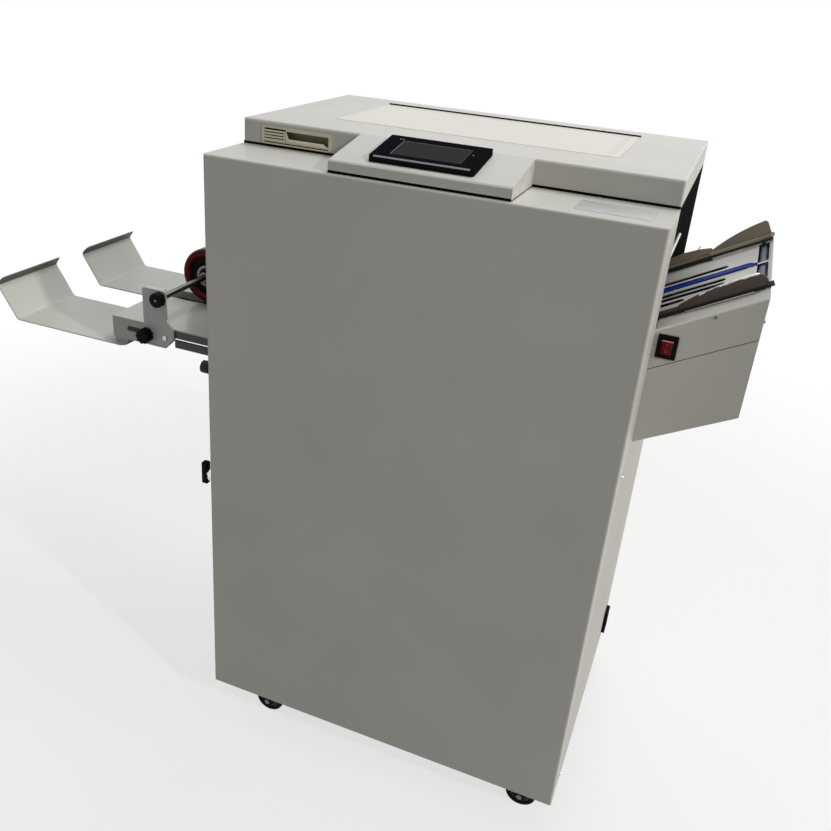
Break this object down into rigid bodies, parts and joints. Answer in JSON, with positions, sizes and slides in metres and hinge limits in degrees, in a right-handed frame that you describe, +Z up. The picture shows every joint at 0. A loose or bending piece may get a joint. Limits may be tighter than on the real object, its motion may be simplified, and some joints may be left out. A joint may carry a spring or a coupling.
{
  "type": "booklet maker",
  "caption": "Floor-standing booklet maker on casters: sloped feed table with geared paper guides, wire stitching and knife folding inside, belt delivery with press wheels and bent trays.",
  "frame": {"origin": "on the floor below the middle of the cabinet", "axes": "+X to the feed side (operator's right), +Y to the back, +Z up"},
  "size_m": [1.2121, 0.4558, 1.0144],
  "materials": {
    "panel_paint": "fine texture, satin",
    "deck_paint": "satin",
    "inset_white": "satin",
    "chassis_paint": "matte",
    "bare_steel": "brushed",
    "screw_steel": "zinc plated",
    "blue_belt": "glossy",
    "black_plastic": "moulded",
    "motor_paint": "matte",
    "tray_paint": "satin",
    "dark_rail": "dark anodised",
    "green_belt": "smooth",
    "beige_plastic": "moulded",
    "black_gloss": "gloss",
    "display_gloss": "gloss",
    "red_plastic": "gloss",
    "guide_paint": "satin",
    "brass": "machined",
    "roller_aluminium": "turned",
    "roller_rubber": "ground",
    "wire_steel": "wound wire",
    "wheel_red": "smooth",
    "grey_plastic": "moulded",
    "latch_chrome": "plated",
    "fork_black": "satin",
    "caster_rubber": "matte"
  },
  "bodies": {
    "cabinet": {"base_plate": "chassis_paint", "front_panel": "panel_paint", "left_side_panel": "panel_paint", "right_side_panel": "panel_paint", "rear_panel": "panel_paint", "front_inner_plate": "bare_steel", "rear_inner_plate": "bare_steel", "tie_bars": "bare_steel", "panel_screws": "screw_steel", "caster_plates": "bare_steel", "hinge_fixed_leaves": "bare_steel", "infeed_guide_plate": "bare_steel", "feed_upper_cover": "panel_paint", "feed_lower_cover": "panel_paint", "feed_deck": "deck_paint", "feed_belt": "blue_belt", "rocker_frame": "black_plastic", "mains_inlet": "black_plastic", "inner_deck": "bare_steel", "stitch_heads": "bare_steel", "drive_motor": "motor_paint", "delivery_table": "tray_paint", "delivery_rails": "dark_rail", "delivery_belts": "green_belt", "front_tray": "tray_paint", "rear_tray": "tray_paint"},
    "hood": {"hood": "panel_paint", "inset_plate": "inset_white", "latch_frame": "beige_plastic", "screen_bezel": "black_gloss", "screen_glass": "display_gloss"},
    "latch_button": {"latch_button": "beige_plastic"},
    "rocker": {"rocker": "red_plastic"},
    "near_guide": {"near_guide": "guide_paint"},
    "far_guide": {"far_guide": "guide_paint"},
    "guide_pinion": {"guide_pinion": "brass"},
    "feed_end_pulley": {"feed_end_pulley": "roller_aluminium"},
    "feed_drive_shaft": {"feed_drive_shaft": "bare_steel"},
    "fold_knife": {"fold_knife": "bare_steel"},
    "fold_roller_lower": {"fold_roller_lower": "roller_rubber"},
    "fold_roller_upper": {"fold_roller_upper": "roller_rubber"},
    "wire_spools": {"wire_spools": "wire_steel"},
    "delivery_end_roller": {"delivery_end_roller": "roller_aluminium"},
    "delivery_drive_roller": {"delivery_drive_roller": "roller_aluminium"},
    "press_carriage": {"press_brackets": "tray_paint", "press_rod": "bare_steel"},
    "press_wheel_front": {"press_wheel_front": "wheel_red"},
    "press_wheel_rear": {"press_wheel_rear": "wheel_red"},
    "clamp_knob": {"clamp_knob": "black_plastic"},
    "side_knob": {"side_knob": "grey_plastic"},
    "side_latch": {"side_latch": "latch_chrome"},
    "caster_fork_front_left": {"caster_fork_front_left": "fork_black"},
    "caster_wheel_front_left": {"caster_wheel_front_left": "caster_rubber"},
    "caster_fork_front_right": {"caster_fork_front_right": "fork_black"},
    "caster_wheel_front_right": {"caster_wheel_front_right": "caster_rubber"},
    "caster_fork_rear_left": {"caster_fork_rear_left": "fork_black"},
    "caster_wheel_rear_left": {"caster_wheel_rear_left": "caster_rubber"},
    "caster_fork_rear_right": {"caster_fork_rear_right": "fork_black"},
    "caster_wheel_rear_right": {"caster_wheel_rear_right": "caster_rubber"}
  },
  "joints": [
    {"name": "hood_hinge", "type": "hinge", "parent": "cabinet", "child": "hood", "pos_m": [0, 0.227, 0.973], "axis": [-1, 0, 0], "range_deg": [0, 75]},
    {"name": "latch_press", "type": "slide", "parent": "hood", "child": "latch_button", "axis": [0, 1, 0], "range_m": [0, 0.004], "stiffness_N_per_m": 300},
    {"name": "rocker_tilt", "type": "hinge", "parent": "cabinet", "child": "rocker", "pos_m": [0.31825, -0.1165, 0.799], "axis": [1, 0, 0], "range_deg": [-18, 0]},
    {"name": "near_guide_slide", "type": "slide", "parent": "cabinet", "child": "near_guide", "axis": [0, 1, 0], "range_m": [0, 0.03]},
    {"name": "far_guide_slide", "type": "slide", "parent": "cabinet", "child": "far_guide", "axis": [0, 1, 0], "range_m": [-0.03, 0]},
    {"name": "pinion_turn", "type": "hinge", "parent": "cabinet", "child": "guide_pinion", "pos_m": [0.40142, 0.005, 0.86502], "axis": [-0.4848, 0, 0.8746], "range_deg": [-168, 5]},
    {"name": "feed_drive_spin", "type": "hinge", "parent": "cabinet", "child": "feed_drive_shaft", "pos_m": [0.217, 0.074, 0.76147], "axis": [0, 1, 0], "continuous": true},
    {"name": "feed_end_spin", "type": "hinge", "parent": "cabinet", "child": "feed_end_pulley", "pos_m": [0.39892, 0.074, 0.86231], "axis": [0, 1, 0], "continuous": true},
    {"name": "knife_slide", "type": "slide", "parent": "cabinet", "child": "fold_knife", "axis": [-0.4848, 0, 0.8746], "range_m": [0, 0.022]},
    {"name": "fold_lower_spin", "type": "hinge", "parent": "cabinet", "child": "fold_roller_lower", "pos_m": [-0.08118, 0.051, 0.63872], "axis": [0, 1, 0], "continuous": true},
    {"name": "fold_upper_spin", "type": "hinge", "parent": "cabinet", "child": "fold_roller_upper", "pos_m": [-0.04567, 0.051, 0.65841], "axis": [0, 1, 0], "continuous": true},
    {"name": "spools_spin", "type": "hinge", "parent": "cabinet", "child": "wire_spools", "pos_m": [-0.06, 0.051, 0.88], "axis": [0, 1, 0], "continuous": true},
    {"name": "delivery_drive_spin", "type": "hinge", "parent": "cabinet", "child": "delivery_drive_roller", "pos_m": [-0.14018, 0.051, 0.64635], "axis": [0, 1, 0], "continuous": true},
    {"name": "delivery_end_spin", "type": "hinge", "parent": "cabinet", "child": "delivery_end_roller", "pos_m": [-0.504, 0.051, 0.64635], "axis": [0, 1, 0], "continuous": true},
    {"name": "carriage_slide", "type": "slide", "parent": "cabinet", "child": "press_carriage", "axis": [1, 0, 0], "range_m": [-0.035, 0.005]},
    {"name": "press_wheel_front_spin", "type": "hinge", "parent": "press_carriage", "child": "press_wheel_front", "pos_m": [-0.453, 0.023, 0.71], "axis": [0, 1, 0], "continuous": true},
    {"name": "press_wheel_rear_spin", "type": "hinge", "parent": "press_carriage", "child": "press_wheel_rear", "pos_m": [-0.453, 0.079, 0.71], "axis": [0, 1, 0], "continuous": true},
    {"name": "clamp_knob_turn", "type": "hinge", "parent": "press_carriage", "child": "clamp_knob", "pos_m": [-0.48, -0.125, 0.644], "axis": [0, 1, 0], "continuous": true},
    {"name": "side_knob_turn", "type": "hinge", "parent": "cabinet", "child": "side_knob", "pos_m": [-0.31, -0.2025, 0.655], "axis": [1, 0, 0], "continuous": true},
    {"name": "side_latch_turn", "type": "hinge", "parent": "cabinet", "child": "side_latch", "pos_m": [-0.31, -0.2025, 0.472], "axis": [1, 0, 0], "range_deg": [0, 90]},
    {"name": "swivel_front_left", "type": "hinge", "parent": "cabinet", "child": "caster_fork_front_left", "pos_m": [-0.23, -0.1745, 0.055], "axis": [0, 0, 1], "continuous": true},
    {"name": "wheel_spin_front_left", "type": "hinge", "parent": "caster_fork_front_left", "child": "caster_wheel_front_left", "pos_m": [-0.213, -0.1745, 0.025], "axis": [0, 1, 0], "continuous": true},
    {"name": "swivel_front_right", "type": "hinge", "parent": "cabinet", "child": "caster_fork_front_right", "pos_m": [0.23, -0.1745, 0.055], "axis": [0, 0, 1], "continuous": true},
    {"name": "wheel_spin_front_right", "type": "hinge", "parent": "caster_fork_front_right", "child": "caster_wheel_front_right", "pos_m": [0.247, -0.1745, 0.025], "axis": [0, 1, 0], "continuous": true},
    {"name": "swivel_rear_left", "type": "hinge", "parent": "cabinet", "child": "caster_fork_rear_left", "pos_m": [-0.23, 0.1745, 0.055], "axis": [0, 0, 1], "continuous": true},
    {"name": "wheel_spin_rear_left", "type": "hinge", "parent": "caster_fork_rear_left", "child": "caster_wheel_rear_left", "pos_m": [-0.213, 0.1745, 0.025], "axis": [0, 1, 0], "continuous": true},
    {"name": "swivel_rear_right", "type": "hinge", "parent": "cabinet", "child": "caster_fork_rear_right", "pos_m": [0.23, 0.1745, 0.055], "axis": [0, 0, 1], "continuous": true},
    {"name": "wheel_spin_rear_right", "type": "hinge", "parent": "caster_fork_rear_right", "child": "caster_wheel_rear_right", "pos_m": [0.247, 0.1745, 0.025], "axis": [0, 1, 0], "continuous": true}
  ],
  "couplings": [
    {"joint": "far_guide_slide", "follows": "near_guide_slide", "ratio": -1},
    {"joint": "pinion_turn", "follows": "near_guide_slide", "rad_per_m": -95.238},
    {"joint": "feed_end_spin", "follows": "feed_drive_spin", "ratio": 1},
    {"joint": "fold_upper_spin", "follows": "fold_lower_spin", "ratio": -1},
    {"joint": "delivery_end_spin", "follows": "delivery_drive_spin", "ratio": 1}
  ]
}
